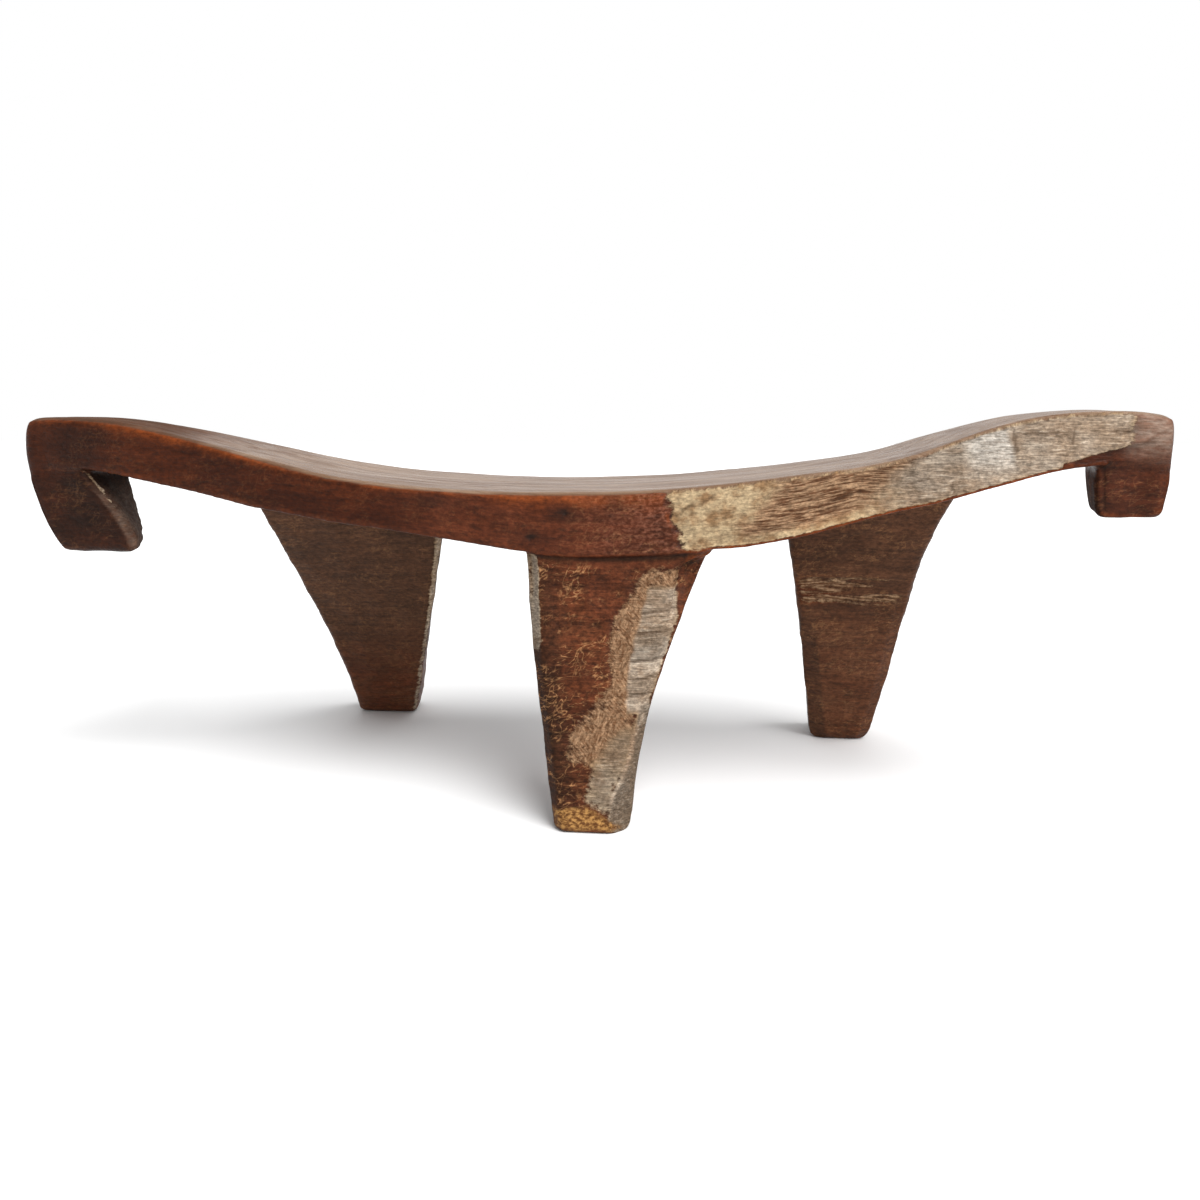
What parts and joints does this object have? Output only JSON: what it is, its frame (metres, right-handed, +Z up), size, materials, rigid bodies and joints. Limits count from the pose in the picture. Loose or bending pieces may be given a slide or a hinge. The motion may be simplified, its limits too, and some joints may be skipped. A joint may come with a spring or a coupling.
{
  "type": "headrest",
  "caption": "Carved wooden headrest: a saddle-curved plank, widest in the middle, with a turned-down lug at each end, on splayed tapering legs in front and behind.",
  "frame": {"origin": "on the floor, at the middle of the box around the object", "axes": "+X along the plank towards the shorter end lug, -Y the side of the single leg, +Z up"},
  "size_m": [0.552, 0.2135, 0.1918],
  "materials": {
    "polished_wood": "satin",
    "worn_wood": "matte",
    "dark_wood": "satin"
  },
  "bodies": {
    "root": {"saddle": "polished_wood", "left_end_lug": "polished_wood", "right_end_lug": "polished_wood", "front_leg": "worn_wood", "rear_left_leg": "dark_wood", "rear_right_leg": "dark_wood"}
  },
  "joints": []
}
